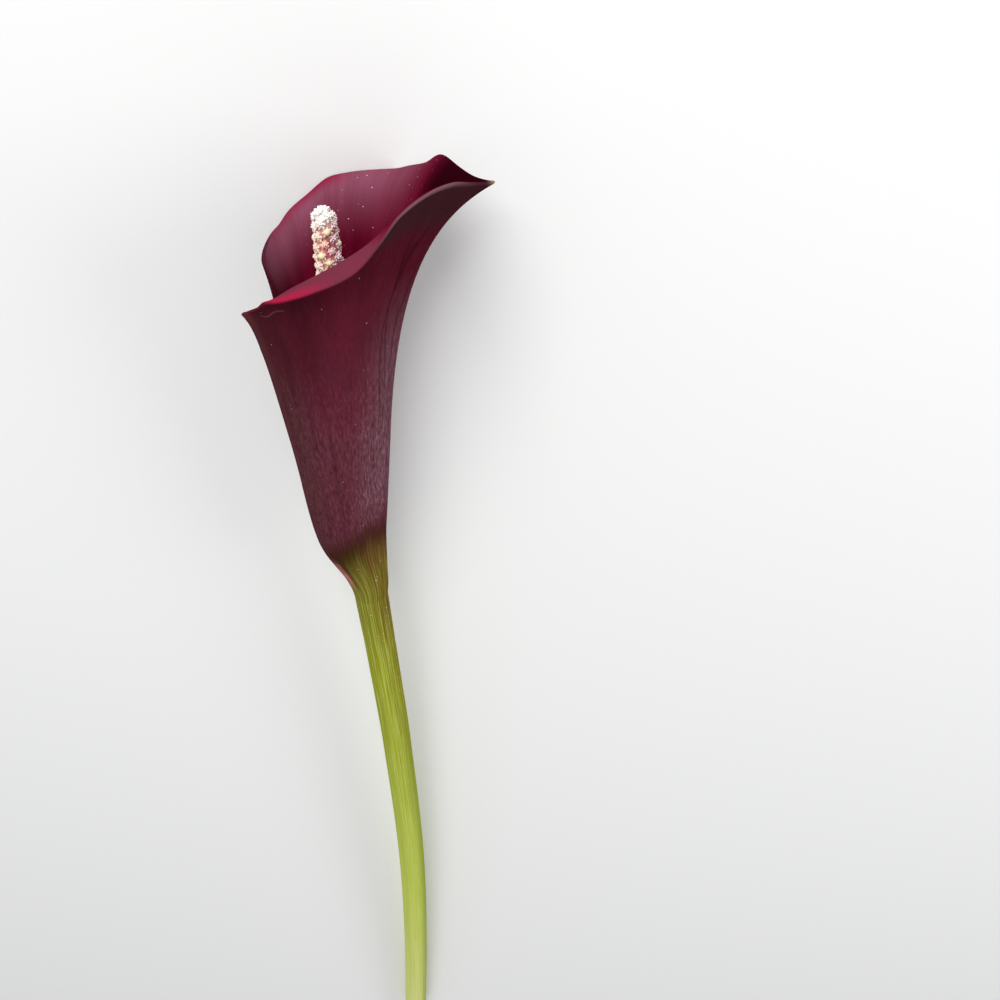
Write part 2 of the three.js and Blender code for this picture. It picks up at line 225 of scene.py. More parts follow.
# Tints that change with height: the two heights, and the strength at each
GLEAM_UP = ((-220, -60), (0.12, 0.3))
GLEAM_END = ((-14, 10), (0.3, 0.0))
STREAK_UP = ((-150, -20), (0.16, 0.5))
STALK_SHADE_UP = ((-90, -20), (0.5, 0.1))
BROWN_UP = ((-130, 10), (0.0, 0.85))
FLECKS_UP = ((-150, -90), (0.15, 0.5))
# painted sheen, stronger lower down
SHEEN_DOWN = ((75, 45), (0.03, 0.16))
STROKES_DOWN = ((86, 50), (0.15, 1.0))
FLECKS_START = (-20, -6)  # at the foot, flecks start and end between these heights
FLECKS_END = (9, 1)

# The scar under the pointed corner: its middle, half length in degrees, and the waviness of its line
SCRATCH_TURN = -116.5
SCRATCH_HEIGHT = 93.75
SCRATCH_HALF = 10.0
SCRATCH_SLOPE = 0.1
SCRATCH_WAVE = 0.34
SCRATCH_RISE = 0.6
SCRATCH_EDGE = (0.42, 0.08)  # distance from its line at which it ends and is full
SCRATCH_END = 2.0  # degrees in which both its ends fade

# Spadix
SPADIX_FOOT = 5.3
SPADIX_X = -0.6
SPADIX_TOP = 111.0
SPADIX_CORE = 2.3
SPADIX_TAPER = 0.4  # how much narrower the core is near its top, between these heights
TAPER_HEIGHTS = (98.0, 108.0)
SPADIX_DOME = 2.4
CORE_SIDES = 40
CORE_RINGS = 60
DOME_RINGS = 9
DOME_ANGLES = (0.12, 1.45)  # radians up the dome of its first and last ring
DOME_CAP = 0.02  # height of its middle above the last ring
CROWN_DEPTHS = (1.5, 5.5)  # below the top, where the white crown's tints start and are full
# Florets
FLORET_SPACING = 2.15
FLORET_FOOT = 0.5  # least height of the lowest one above the core's foot
CROWN_TURN = -135.0  # of the topmost floret
CROWN_GAP = 0.25
GOLDEN_TURN = math.pi * (3 - math.sqrt(5))
LEAST_RADIUS = 0.5  # that counts in their spacing, on the dome
# Lobes of one floret, ring by ring: how many, degrees that they lean outward, share of the full length
LOBE_RINGS = [(1, 0.0, 1.1), (5, 34.0, 1.05), (7, 66.0, 1.32)]
# Outline of one lobe, from under its root: share of its length, share of its half width
LOBE_OUTLINE = [(-0.35, 0.9), (0.2, 1.0), (0.6, 0.72), (0.86, 0.36)]
LOBE_SIDES = 5
LOBE_LENGTH = 1.25
LOBE_SHORTEST = 0.88  # share of that length
LOBE_THICK = 0.44  # half widths
LOBE_WIDE = 0.54
LOBE_JITTER = 5.0
RING_SPIN = math.pi / 6  # radians from one ring to the next
SPIN_JITTER = 0.12  # radians
BLOB_SHARE = 0.25  # of the florets that carry a round pale-yellow blob
BLOB_RADIUS = 0.84
BLOB_SIZES = (0.9, 1.1)  # smallest and largest share of that radius
BLOB_LIFT = 0.4  # share of its radius by which it stands off the core
BLOB_SIDES = 8
BLOB_BANDS = 5
BLOB_TOP = 106.0  # above this height no floret carries one
BLOB_SEED = 19928
SQUASH_LEAST = 0.85  # share that a blob keeps along an axis, and the most along each
SQUASH_MOST = (1.2, 1.1, 1.05)
FEMALE_TOP = 34.0  # below this height all of them are round, and this many times as large
FEMALE_SIZE = 1.35
FRONT_TURN = -72.0  # where some florets are still small and pink, and the heights between
FRONT_WIDTH = 24.0
FRONT_HEIGHTS = (97.8, 100.4, 103.0, 105.0)
FRONT_SIZE = 0.3  # how much smaller they are there
FRONT_PALE = 0.5  # how much less of their length is pale
CHANCE_LEAST = 0.35  # of the pink that each one has by chance
SHADE_MOST = 0.75  # of the painted shade, rosy and greyish, on the side that faces the tip
SHADE_FACING = (-0.1, 0.8)  # how far towards the tip a floret points where that starts and is full
SPADIX_SEED = 7
DOME_BASE = SPADIX_TOP - LOBE_LENGTH - SPADIX_DOME

# Meshes
SHARP = math.radians(60)  # edges that turn more than this stay crisp
WELD_DISTANCE = 0.002 * MM

# The photograph's camera, in the flower's frame
EYE = (38.3, -209.0, 202.0)
EYE_PITCH = 40.0  # degrees below level, looking along +Y
LENS = 36.0  # on a sensor as wide, so the picture is as wide as its distance

# Stage, in metres, and its lights: name, place, diameter, power in watts
FLOOR_SIZE = 8.0
BLOOM = (0.0, 0.13, 0.03)  # where the lights point
LIGHTS = [("key", (-0.15, 0.95, 0.75), 0.7, 9.0), ("side", (0.8, 0.3, 0.5), 0.5, 2.5)]
SKY_STRENGTH = 0.5


def srgb(red, green, blue):
    """Linear colour of one given in the usual 0 to 255 steps."""
    def linear(value):
        value /= 255
        return value / 12.92 if value <= 0.04045 else ((value + 0.055) / 1.055) ** 2.4
    return (linear(red), linear(green), linear(blue), 1.0)


# Colours, some of them as steps by height or by share of the radius
# Outside by height: darker and deeper red towards the mouth, partly painted shade under the rolled lip
OUTSIDE_ENDS = (0.0, 100.0)
OUTSIDE_STEPS = [
    (35, srgb(94, 41, 51)),
    (62, srgb(94, 42, 54)),
    (85, srgb(82, 28, 42)),
    (98, srgb(80, 18, 33)),
]
OUTSIDE_DARK = srgb(54, 20, 28)
OUTSIDE_SHADE = srgb(76, 22, 34)
OUTSIDE_RED = srgb(98, 28, 44)
OUTSIDE_BROWN_AND_REFLECTION = srgb(84, 46, 48)
# painted sheen
OUTSIDE_SHEEN = srgb(118, 82, 92)
OUTSIDE_BAND = srgb(63, 32, 38)
# pale strokes, partly painted sheen
OUTSIDE_STROKE = srgb(150, 112, 124)
CORNER_BROWN = srgb(104, 46, 50)
# painted shade in the creases
CREASE_SHADE = srgb(38, 9, 17)
SCRATCH = srgb(122, 76, 74)
INSIDE_DEEP = srgb(92, 6, 31)
INSIDE = srgb(106, 16, 43)
# painted sheen
INSIDE_SHEEN = srgb(138, 76, 97)
INSIDE_DUSK = srgb(40, 3, 13)
# painted light shining through the rim
RIM_GLOW = srgb(142, 34, 66)
LIP_CRIMSON = srgb(163, 32, 65)
# painted sheen
LIP_SHEEN = srgb(113, 46, 63)
# painted highlight on the rim
RIM_HIGHLIGHT = srgb(124, 92, 98)
TIP_TAN = srgb(164, 132, 108)
MARGIN_PINK = srgb(200, 116, 120)
SPECK = srgb(232, 216, 212)
FADE_BROWN = srgb(66, 36, 30)
FADE_OLIVE = srgb(66, 50, 18)
FADE_GOLD = srgb(98, 68, 40)
# Stalk by height: pale towards the cut and darker olive towards the top, the darkening partly painted shade
STALK_ENDS = (-STALK_LENGTH, 20.0)
STALK_STEPS = [
    (-286, srgb(225, 229, 145)),
    (-176, srgb(192, 206, 92)),
    (-41, srgb(154, 164, 36)),
    (8, srgb(112, 99, 42)),
]
STALK_BROWN = srgb(98, 54, 26)
STALK_SHADE = srgb(104, 116, 26)
STALK_GLEAM = srgb(210, 218, 122)
STALK_STREAK = srgb(112, 112, 16)
FLESH_STEPS = [
    (0.0, srgb(206, 214, 160)),
    (0.78, srgb(190, 204, 130)),
    (0.9, srgb(120, 150, 60)),
    (1.0, srgb(96, 122, 40)),
]
FLESH_PORE = srgb(120, 132, 70)
FLORET_CREAM = srgb(255, 253, 246)
FLORET_PINK = srgb(254, 216, 194)
FLORET_SHADE = srgb(246, 208, 220)
FLORET_BLOB = srgb(255, 246, 198)
FLORET_ROOT = srgb(236, 176, 168)
FLORET_GAP = srgb(190, 62, 92)
FLOOR_PALE = srgb(242, 242, 240)
SKY = srgb(250, 251, 255)


def ease(t):
    t = np.clip(t, 0, 1)
    return t * t * (3 - 2 * t)


def rise(value, start, full):
    """Smooth mask: 0 up to start and 1 from full on, where start may be the larger one."""
    return ease((value - start) / (full - start))


def window(value, start, full, fade, end):
    """Smooth mask: 0 below start, 1 from full to fade, and 0 above end."""
    return rise(value, start, full) * rise(value, end, fade)


def station_curve(stations, column):
    """Smooth curve through rows of numbers; reads one column at places along the first one."""
    keys = np.array([row[0] for row in stations], float)
    values = np.array([row[column] for row in stations], float)
    slopes = np.empty_like(values)
    slopes[1:-1] = (values[2:] - values[:-2]) / (keys[2:] - keys[:-2])
    slopes[0] = (values[1] - values[0]) / (keys[1] - keys[0])
    slopes[-1] = (values[-1] - values[-2]) / (keys[-1] - keys[-2])

    def read(place):
        at = np.clip(place, keys[0], keys[-1])
        i = np.clip(np.searchsorted(keys, at) - 1, 0, len(keys) - 2)
        gap = keys[i + 1] - keys[i]
        t = (at - keys[i]) / gap
        start = (2 * t**3 - 3 * t**2 + 1) * values[i] + (t**3 - 2 * t**2 + t) * gap * slopes[i]
        end = (3 * t**2 - 2 * t**3) * values[i + 1] + (t**3 - t**2) * gap * slopes[i + 1]
        return start + end

    return read


tube_centre = station_curve(TUBE, 1)
tube_radius = station_curve(TUBE, 2)
rim_reach = station_curve(RIM, 1)
rim_height = station_curve(RIM, 2)
rim_flare = station_curve(RIM, 3)
rim_curl = station_curve(RIM, 4)
stalk_bow = station_curve(STALK_BOW, 1)


# The spathe's sheet: side runs from -1 at the outer margin over 0 at the tip to 1 at the inner
# margin, and way from 0 at the foot to 1 at the rim.

def sheet_thickness(way):
    return FOOT_THICKNESS + (RIM_THICKNESS - FOOT_THICKNESS) * way


def layer_step(turn):
    """How far the sheet steps out on its outer margin's side, and in on its inner one's."""
    apart = ease((abs(turn) - LAYER_START) / (LAYER_FULL - LAYER_START))
    return np.where(turn < 0, LAYER_OUTWARD * apart, -LAYER_INWARD * apart)


def column_turn(side, z):
    lap = ease((z - FOOT) / (LAP_HEIGHT - FOOT))
    outer = OUTER_MARGIN[0] + (OUTER_MARGIN[1] - OUTER_MARGIN[0]) * lap
    inner = INNER_MARGIN[0] + (INNER_MARGIN[1] - INNER_MARGIN[0]) * lap
    share = COLUMN_EVEN * abs(side) + (1 - COLUMN_EVEN) * abs(side) ** COLUMN_POWER
    return np.where(side < 0, outer, inner) * share


def limb_curve(turn, along):
    """Radius and height along the limb, a cubic curve from the tube's end to the rim."""
    away = abs(turn)
    tip = TIP_REACH * np.exp(-away / TIP_SPREAD)
    tail = TAIL_REACH * np.exp(-away / TAIL_SPREAD)
    reach = rim_reach(turn) + tip + tail
    bend = rim_reach(turn) + KEEL_REACH * np.exp(-((turn / KEEL_SPREAD) ** 2))
    height = rim_height(turn)
    flare = np.radians(rim_flare(turn))
    curl = rim_curl(turn)
    start_radius = tube_radius(LIMB_START) - sheet_thickness(LIMB_SHARE) / 2
    widening = tube_radius(LIMB_START + 0.5) - tube_radius(LIMB_START - 0.5)
    handle = LIMB_HANDLE * (height - LIMB_START)
    weights = ((1 - along) ** 3, 3 * along * (1 - along) ** 2, 3 * along**2 * (1 - along), along**3)
    radii = (start_radius, start_radius + widening * handle, bend - curl * np.sin(flare), reach)
    heights = (LIMB_START, LIMB_START + handle, height - curl * np.cos(flare), height)
    radius = sum(weight * value for weight, value in zip(weights, radii))
    z = sum(weight * value for weight, value in zip(weights, heights))
    return radius, z


def sheet_points(side, way):
    """Middle of the sheet, and the turn there."""
    low = np.clip(way / LIMB_SHARE, 0, 1) ** TUBE_CROWDING
    tube_z = FOOT + (LIMB_START - FOOT) * low
    along = np.clip((way - LIMB_SHARE) / (1 - LIMB_SHARE), 0, 1)
    limb_radius, limb_z = limb_curve(column_turn(side, LIMB_START), along)
    limb_x = tube_centre(LIMB_START) + (THROAT_X - tube_centre(LIMB_START)) * along
    in_limb = way > LIMB_SHARE
    radius = np.where(in_limb, limb_radius, tube_radius(tube_z) - sheet_thickness(way) / 2)
    z = np.where(in_limb, limb_z, tube_z)
    centre = np.where(in_limb, limb_x, tube_centre(tube_z))
    turn = column_turn(side, z)
    grow = np.clip((z - FOOT) / LAYER_FOOT, 0, 1)
    fade = np.clip((1 - way) / LAYER_RIM, 0, 1)
    radius = radius + layer_step(turn) * grow * fade
    angle = np.radians(turn)
    points = np.stack([centre + radius * np.cos(angle), radius * np.sin(angle), z], axis=-1)
    return points, turn


def sheet_normals(side, way):
    right, _ = sheet_points(np.clip(side + NORMAL_STEP, -1, 1), way)
    left, _ = sheet_points(np.clip(side - NORMAL_STEP, -1, 1), way)
    up, _ = sheet_points(side, np.clip(way + NORMAL_STEP, 0, 1))
    down, _ = sheet_points(side, np.clip(way - NORMAL_STEP, 0, 1))
    normals = np.cross(right - left, up - down)
    return normals / np.linalg.norm(normals, axis=-1, keepdims=True)


def laid_transform():
    """Turn and place that lay the flower down, in millimetres, set from the frame's own spathe."""
    turned = Euler((math.radians(LAY_TILT - 90), 0, 0)).to_matrix()
    rolled = Euler((0, 0, math.radians(LAY_ROLL))).to_matrix()
    rotation = np.array(turned @ rolled)
    sides = np.linspace(-1, 1, CAD_COLUMNS + 1)
    tube = np.linspace(0, LIMB_SHARE, CAD_TUBE_ROWS, endpoint=False)
    ways = np.concatenate([tube, np.linspace(LIMB_SHARE, 1, CAD_LIMB_ROWS + 1)])
    side, way = np.meshgrid(sides, ways, indexing="ij")
    middle, _ = sheet_points(side, way)
    half = sheet_normals(side, way) * (sheet_thickness(way) / 2)[..., None]
    both = np.concatenate([middle + half, middle - half]).reshape(-1, 3) @ rotation.T
    low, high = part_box("spathe")
    place = (np.array(low) + np.array(high)) / (2 * MM) - (both.min(0) + both.max(0)) / 2
    return rotation, place


LAY_ROTATION, LAY_PLACE = laid_transform()


def lay(points):
    """Points of the flower's frame, laid down in the row's frame, in metres."""
    return (points @ LAY_ROTATION.T + LAY_PLACE) * MM


def mesh_piece(name, points, faces, masks, material, node):
    """Mesh object from points in the flower's frame, with a value of each mask at every point."""
    mesh = bpy.data.meshes.new(name)
    mesh.from_pydata(lay(points).tolist(), [], faces)
    for mask, values in masks.items():
        vector = values.ndim == 2
        layer = mesh.attributes.new(mask, "FLOAT_VECTOR" if vector else "FLOAT", "POINT")
        layer.data.foreach_set("vector" if vector else "value", values.astype(np.float32).ravel())
    mesh.shade_smooth()
    mesh.materials.append(material)
    piece = bpy.data.objects.new(name, mesh)
    bpy.context.scene.collection.objects.link(piece)
    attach(piece, "root")
    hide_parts(node)
    return piece


def weld(piece):
    """Join points that lie together, and keep only the sharpest edges crisp."""
    form = bmesh.new()
    form.from_mesh(piece.data)
    bmesh.ops.remove_doubles(form, verts=form.verts, dist=WELD_DISTANCE)
    for edge in form.edges:
        edge.smooth = edge.calc_face_angle(0) < SHARP
    form.to_mesh(piece.data)
    form.free()


def ring_points(radius, z, sides, x=0.0):
    """A level ring of points round an upright axis."""
    angles = 2 * math.pi * np.arange(sides) / sides
    return np.stack([x + radius * np.cos(angles), radius * np.sin(angles), np.full(sides, z)], axis=-1)


def ring_faces(rings, sides, first=0):
    """Quads between neighbouring rings of points."""
    faces = []
    for ring in range(rings - 1):
        for k in range(sides):
            low = first + ring * sides
            next_k = (k + 1) % sides
            faces.append((low + k, low + next_k, low + sides + next_k, low + sides + k))
    return faces


def fan_faces(first, sides, middle, flipped=False):
    """Triangles from a ring of points to a single one."""
    faces = []
    for k in range(sides):
        face = (first + k, first + (k + 1) % sides, middle)
        faces.append(face[::-1] if flipped else face)
    return faces


def grid_faces(lines, length, first=0, flipped=False):
    """Quads between neighbouring lines of points, each line as long as the next."""
    faces = []
    for line in range(lines - 1):
        for step in range(length - 1):
            a = first + line * length + step
            quad = (a, a + length, a + length + 1, a + 1)
            faces.append(quad[::-1] if flipped else quad)
    return faces


def wrapped(turn):
    return (turn + 180) % 360 - 180


def browned_of(turn):
    """The side of the stalk, under the tip, that has a brownish tint."""
    return BROWNED_SHARE * window(wrapped(turn), *BROWNED_TURNS)


def shaded_side_of(turn):
    """The side of the stalk with painted shade, a darker green, further round than its brownish tint."""
    return window(wrapped(turn), *STALK_SHADE_TURNS)


def grain_of(turn, along):
    """Coordinates for streaks that run up the flower and widen with it."""
    angle = np.radians(turn)
    return np.stack([GRAIN_RADIUS * np.cos(angle), GRAIN_RADIUS * np.sin(angle), along], axis=-1)


class Paint:
    """Node tree of one material; each method adds a node and gives back its output."""

    def __init__(self, name, **sockets):
        self.material = bpy.data.materials.new(name)
        self.material.use_nodes = True
        self.tree = self.material.node_tree
        self.shader = self.tree.nodes["Principled BSDF"]
        for socket, value in sockets.items():
            self.shader.inputs[socket.replace("_", " ")].default_value = value

    def put(self, socket, value):
        if isinstance(value, bpy.types.NodeSocket):
            self.tree.links.new(value, socket)
        else:
            socket.default_value = value

    def add(self, kind, values, output=0, **settings):
        node = self.tree.nodes.new(kind)
        for name, value in settings.items():
            setattr(node, name, value)
        for name, value in values.items():
            self.put(node.inputs[name], value)
        return node.outputs[output]

    def mask(self, name):
        return self.add("ShaderNodeAttribute", {}, "Fac", attribute_name=name)

    def place(self, name, across, along):
        """Coordinates that grow by one in these lengths."""
        vector = self.add("ShaderNodeAttribute", {}, "Vector", attribute_name=name)
        scale = (1 / across, 1 / across, 1 / along)
        return self.add("ShaderNodeVectorMath", {0: vector, 1: scale}, operation="MULTIPLY")

    def noise(self, place, detail=3.0, rough=0.55):
        values = {"Vector": place, "Scale": 1.0, "Detail": detail, "Roughness": rough}
        return self.add("ShaderNodeTexNoise", values, "Fac")

    def grain(self, across, along, detail=3.0, rough=0.55):
        """Noise in streaks of this size that run up the flower."""
        return self.noise(self.place("grain", across, along), detail, rough)

    def mottle(self, size, detail=3.0):
        """Noise in spots of this size."""
        return self.noise(self.place("place", size, size), detail)

    def span(self, value, ends, gives=(0.0, 1.0), kind="SMOOTHSTEP"):
        """Smoothly from the first number that it gives, at the first end, to the second at the second."""
        names = ("From Min", "From Max", "To Min", "To Max")
        values = {"Value": value, **dict(zip(names, (*ends, *gives)))}
        return self.add("ShaderNodeMapRange", values, interpolation_type=kind)

    def operate(self, operation, *values):
        return self.add("ShaderNodeMath", dict(enumerate(values)), operation=operation)

    def times(self, a, b):
        return self.operate("MULTIPLY", a, b)

    def plus(self, a, b):
        return self.operate("ADD", a, b)

    def over(self, below, above, *shares):
        """One colour over another, as far as the product of its shares: numbers, outputs or masks' names."""
        factors = [self.mask(share) if isinstance(share, str) else share for share in shares]
        node = self.tree.nodes.new("ShaderNodeMix")
        node.data_type = "RGBA"
        self.put(node.inputs["Factor"], functools.reduce(self.times, factors))
        # The numbered sockets are the node's own for colours.
        self.put(node.inputs[6], below)
        self.put(node.inputs[7], above)
        return node.outputs[2]

    def ramp(self, value, stops):
        node = self.tree.nodes.new("ShaderNodeValToRGB")
        self.put(node.inputs["Fac"], value)
        while len(node.color_ramp.elements) < len(stops):
            node.color_ramp.elements.new(1.0)
        for element, (position, colour) in zip(node.color_ramp.elements, stops):
            element.position = position
            element.color = colour
        return node.outputs["Color"]

    def by_height(self, height, ends, steps):
        """Colour that changes evenly from step to step, each a height between the ends and its tint."""
        low, high = ends
        stops = [((z - low) / (high - low), tint) for z, tint in steps]
        return self.ramp(self.span(height, ends, kind="LINEAR"), stops)

    def specks(self, across, along, size, share):
        """Small dots with soft edges: one in a chosen share of cells as large as this."""
        node = self.tree.nodes.new("ShaderNodeTexVoronoi")
        self.put(node.inputs["Vector"], self.place("place", across, along))
        node.inputs["Scale"].default_value = 1.0
        near = self.span(node.outputs["Distance"], (size, size * 0.5))
        pick = self.add("ShaderNodeSeparateColor", {"Color": node.outputs["Color"]}, "Red")
        return self.times(near, self.span(pick, (share, share * 0.98)))

    def bump(self, height, depth, below=None):
        values = {"Height": height, "Strength": 1.0, "Distance": depth}
        if below is not None:
            values["Normal"] = below
        return self.add("ShaderNodeBump", values)

    def finish(self, colour, roughness, normal):
        self.put(self.shader.inputs["Base Color"], colour)
        self.put(self.shader.inputs["Roughness"], roughness)
        self.put(self.shader.inputs["Normal"], normal)
        return self.material


# In the functions below a pair after a noise is where on it the tint starts and is full, and a second
# pair is the tint's strength at both. Sizes across and along are those of the noise's features.

def stalk_colour(paint):
    """Green of the stalk by its height, darker towards its top in part as painted shade, with fine
    lengthwise streaks, pale ones that are partly painted sheen and brown-red ones near its top, and painted
    shade down one side.
    """
    height = paint.mask("height")
    colour = paint.by_height(height, STALK_ENDS, STALK_STEPS)
    fine = paint.grain(across=0.34, along=26.0)
    gleam = paint.plus(paint.span(height, *GLEAM_END), paint.span(height, *GLEAM_UP))
    # Pale fine streaks: partly the stalk's own striations, partly painted sheen
    colour = paint.over(colour, STALK_GLEAM, paint.span(fine, (0.48, 0.62)), gleam)
    narrow = paint.grain(across=0.9, along=44.0, detail=4.0)
    dark = paint.span(height, *STREAK_UP)
    colour = paint.over(colour, STALK_STREAK, paint.span(narrow, (0.48, 0.64)), dark)
    # Painted shade on the side away from the light
    colour = paint.over(colour, STALK_SHADE, "shaded_side", paint.span(height, *STALK_SHADE_UP))
    brown = paint.span(paint.grain(across=0.32, along=22.0), (0.4, 0.57))
    around = paint.plus(paint.mask("browned"), 0.25)
    colour = paint.over(colour, STALK_BROWN, brown, paint.span(height, *BROWN_UP), around)
    flecks = paint.specks(across=1.5, along=1.1, size=0.22, share=0.16)
    at_foot = paint.times(paint.span(height, FLECKS_START), paint.span(height, FLECKS_END))
    shown = paint.plus(at_foot, paint.span(height, *FLECKS_UP))
    return paint.over(colour, SPECK, flecks, shown, 0.75)


def painted_sheen_colour(paint, colour):
    """The lower outside's painted sheen, as on a waxy skin: pearly dashes, with fine pale strokes that are
    strongest where the sheen lies, fine dark strokes and a few dots.
    """
    height = paint.mask("height")
    # Painted sheen in pearly dashes, towards the tip and lower down
    sheen_dashes = paint.grain(across=0.3, along=2.6, detail=2.0, rough=0.6)
    sheen_share = paint.plus(paint.mask("sheen"), paint.span(height, *SHEEN_DOWN))
    colour = paint.over(colour, OUTSIDE_SHEEN, sheen_share, paint.span(sheen_dashes, (0.32, 0.68), (0.3, 0.8)))
    strokes = paint.grain(across=0.36, along=2.1, detail=1.5, rough=0.6)
    lower = paint.span(height, *STROKES_DOWN)
    pale = paint.plus(paint.times(paint.mask("sheen"), 0.46), 0.11)
    colour = paint.over(colour, OUTSIDE_STROKE, paint.span(strokes, (0.53, 0.66)), pale, lower)
    colour = paint.over(colour, OUTSIDE_DARK, paint.span(strokes, (0.47, 0.34), (0.0, 0.45)), lower)
    return paint.over(colour, SPECK, paint.specks(across=1.7, along=2.3, size=0.1, share=0.12), 0.4)


def scratch_mask(paint):
    """A thin pale scar under the pointed corner: a wavy line across the streaks."""
    turn = paint.plus(paint.mask("turn"), -SCRATCH_TURN)
    wave = paint.operate("SINE", paint.times(turn, SCRATCH_WAVE))
    line = paint.plus(paint.times(wave, SCRATCH_RISE), paint.times(turn, SCRATCH_SLOPE))
    off = paint.plus(paint.plus(paint.mask("height"), -SCRATCH_HEIGHT), paint.times(line, -1.0))
    near = paint.span(paint.operate("ABSOLUTE", off), SCRATCH_EDGE)
    ends = (SCRATCH_HALF, SCRATCH_HALF - SCRATCH_END)
    return paint.times(near, paint.span(paint.operate("ABSOLUTE", turn), ends, (0.0, 0.5)))


def foot_colour(paint, colour, streaks, hairs):
    """The ragged change at the foot, from burgundy over brown and olive to the stalk's green."""
    edge = paint.plus(paint.mask("fade"), paint.span(hairs, NOISE, FADE_HAIRS))
    edge = paint.plus(edge, paint.span(streaks, NOISE, FADE_STREAKS))
    colour = paint.over(colour, FADE_BROWN, paint.span(edge, FADE_TO_BROWN))
    fading = paint.over(FADE_OLIVE, FADE_GOLD, "browned")
    olive = paint.over(stalk_colour(paint), fading, paint.span(edge, FADE_FROM_STALK))
    return paint.over(colour, olive, paint.span(edge, FADE_TO_OLIVE))


def outside_colour(paint, streaks, hairs):
    """Burgundy that darkens towards the mouth, partly as painted shade under the lip, with fine streaks, and
    turns green at the foot.
    """
    colour = paint.by_height(paint.mask("height"), OUTSIDE_ENDS, OUTSIDE_STEPS)
    broad = paint.grain(across=7.0, along=30.0)
    colour = paint.over(colour, OUTSIDE_RED, "red", paint.span(broad, (0.38, 0.62), (0.2, 0.9)))
    # Brownish tone, partly painted reflection of green near the outline
    colour = paint.over(colour, OUTSIDE_BROWN_AND_REFLECTION, "brown")
    colour = paint.over(colour, OUTSIDE_SHADE, "shade")
    # Painted sheen and fine strokes on the lower outside
    colour = painted_sheen_colour(paint, colour)
    colour = paint.over(colour, OUTSIDE_BAND, "band")
    colour = paint.over(colour, CORNER_BROWN, "corner")
    colour = paint.over(colour, OUTSIDE_DARK, paint.span(streaks, (0.48, 0.72), (0.0, 0.34)))
    # Painted shade along the creases
    colour = paint.over(colour, CREASE_SHADE, "crease", 0.55)
    colour = paint.over(colour, SCRATCH, scratch_mask(paint))
    return foot_colour(paint, colour, streaks, hairs)


def inside_colour(paint, streaks, hairs):
    """Dark red throat, with a painted sheen in pinkish purple on the far wall, painted light shining bright
    red through the rim, and on the rolled lip a painted sheen and deep red.
    """
    colour = paint.over(INSIDE_DEEP, INSIDE, paint.span(streaks, NOISE))
    haired = paint.span(hairs, (0.25, 0.6), (0.84, 1.0))
    streaked = paint.span(streaks, (0.62, 0.44), (0.82, 1.0))
    # Painted sheen on the far wall
    colour = paint.over(colour, INSIDE_SHEEN, "mauve_sheen", haired, streaked)
    # Painted light shining through the thin rim
    colour = paint.over(colour, RIM_GLOW, "rim_glow")
    colour = paint.over(colour, INSIDE_DUSK, "dusk")
    # Painted sheen on the fold of the rolled lip
    colour = paint.over(colour, LIP_SHEEN, "lip_sheen")
    return paint.over(colour, LIP_CRIMSON, "lip")


def spathe_material():
    paint = Paint("spathe", Specular_IOR_Level=0.0)
    streaks = paint.grain(across=1.5, along=34.0, detail=4.0)
    hairs = paint.grain(across=0.3, along=16.0, rough=0.65)
    outside = outside_colour(paint, streaks, hairs)
    colour = paint.over(outside, inside_colour(paint, streaks, hairs), "inside")
    outer_face = paint.span(paint.mask("inside"), (0.9, 0.5))
    # Painted highlight along the rim's rounded edge, on its outer half
    colour = paint.over(colour, RIM_HIGHLIGHT, "edge_highlight", outer_face)
    colour = paint.over(colour, INSIDE_DUSK, "dim_edge")
    colour = paint.over(colour, TIP_TAN, "tan")
    # Painted shadow line along the edge of the pale pink strip
    colour = paint.over(colour, FADE_BROWN, "margin_shadow", 0.6)
    worn = paint.span(paint.mottle(1.6), (0.35, 0.65), (0.5, 1.0))
    colour = paint.over(colour, MARGIN_PINK, "pink", worn)

    # Pollen lies in clusters of dots inside the far wall, and there is hardly any elsewhere.
    clusters = paint.span(paint.mottle(11.0), (0.46, 0.58), (0.1, 1.0))
    dusted = paint.plus(paint.times(paint.mask("dusted"), paint.mask("inside")), 0.03)
    dots = paint.specks(across=1.2, along=0.9, size=0.15, share=0.34)
    colour = paint.over(colour, SPECK, dots, clusters, dusted)

    normal = paint.bump(hairs, 0.03 * MM)
    normal = paint.bump(streaks, 0.05 * MM, normal)
    normal = paint.bump(paint.mottle(0.22, detail=2.0), 0.015 * MM, normal)
    return paint.finish(colour, paint.span(hairs, NOISE, (0.4, 0.52)), normal)


def stalk_material():
    paint = Paint("stalk", Specular_IOR_Level=0.0)
    flesh = paint.ramp(paint.mask("radial"), FLESH_STEPS)
    pores = paint.specks(across=1.0, along=1.0, size=0.34, share=0.8)
    flesh = paint.over(flesh, FLESH_PORE, pores, 0.65)
    colour = paint.over(stalk_colour(paint), flesh, "cut")
    skin = paint.noise(paint.place("place", across=0.3, along=0.5))
    normal = paint.bump(paint.grain(across=0.5, along=30.0, detail=4.0), 0.1 * MM)
    normal = paint.bump(skin, 0.03 * MM, normal)
    return paint.finish(colour, paint.span(skin, NOISE, (0.42, 0.58)), normal)


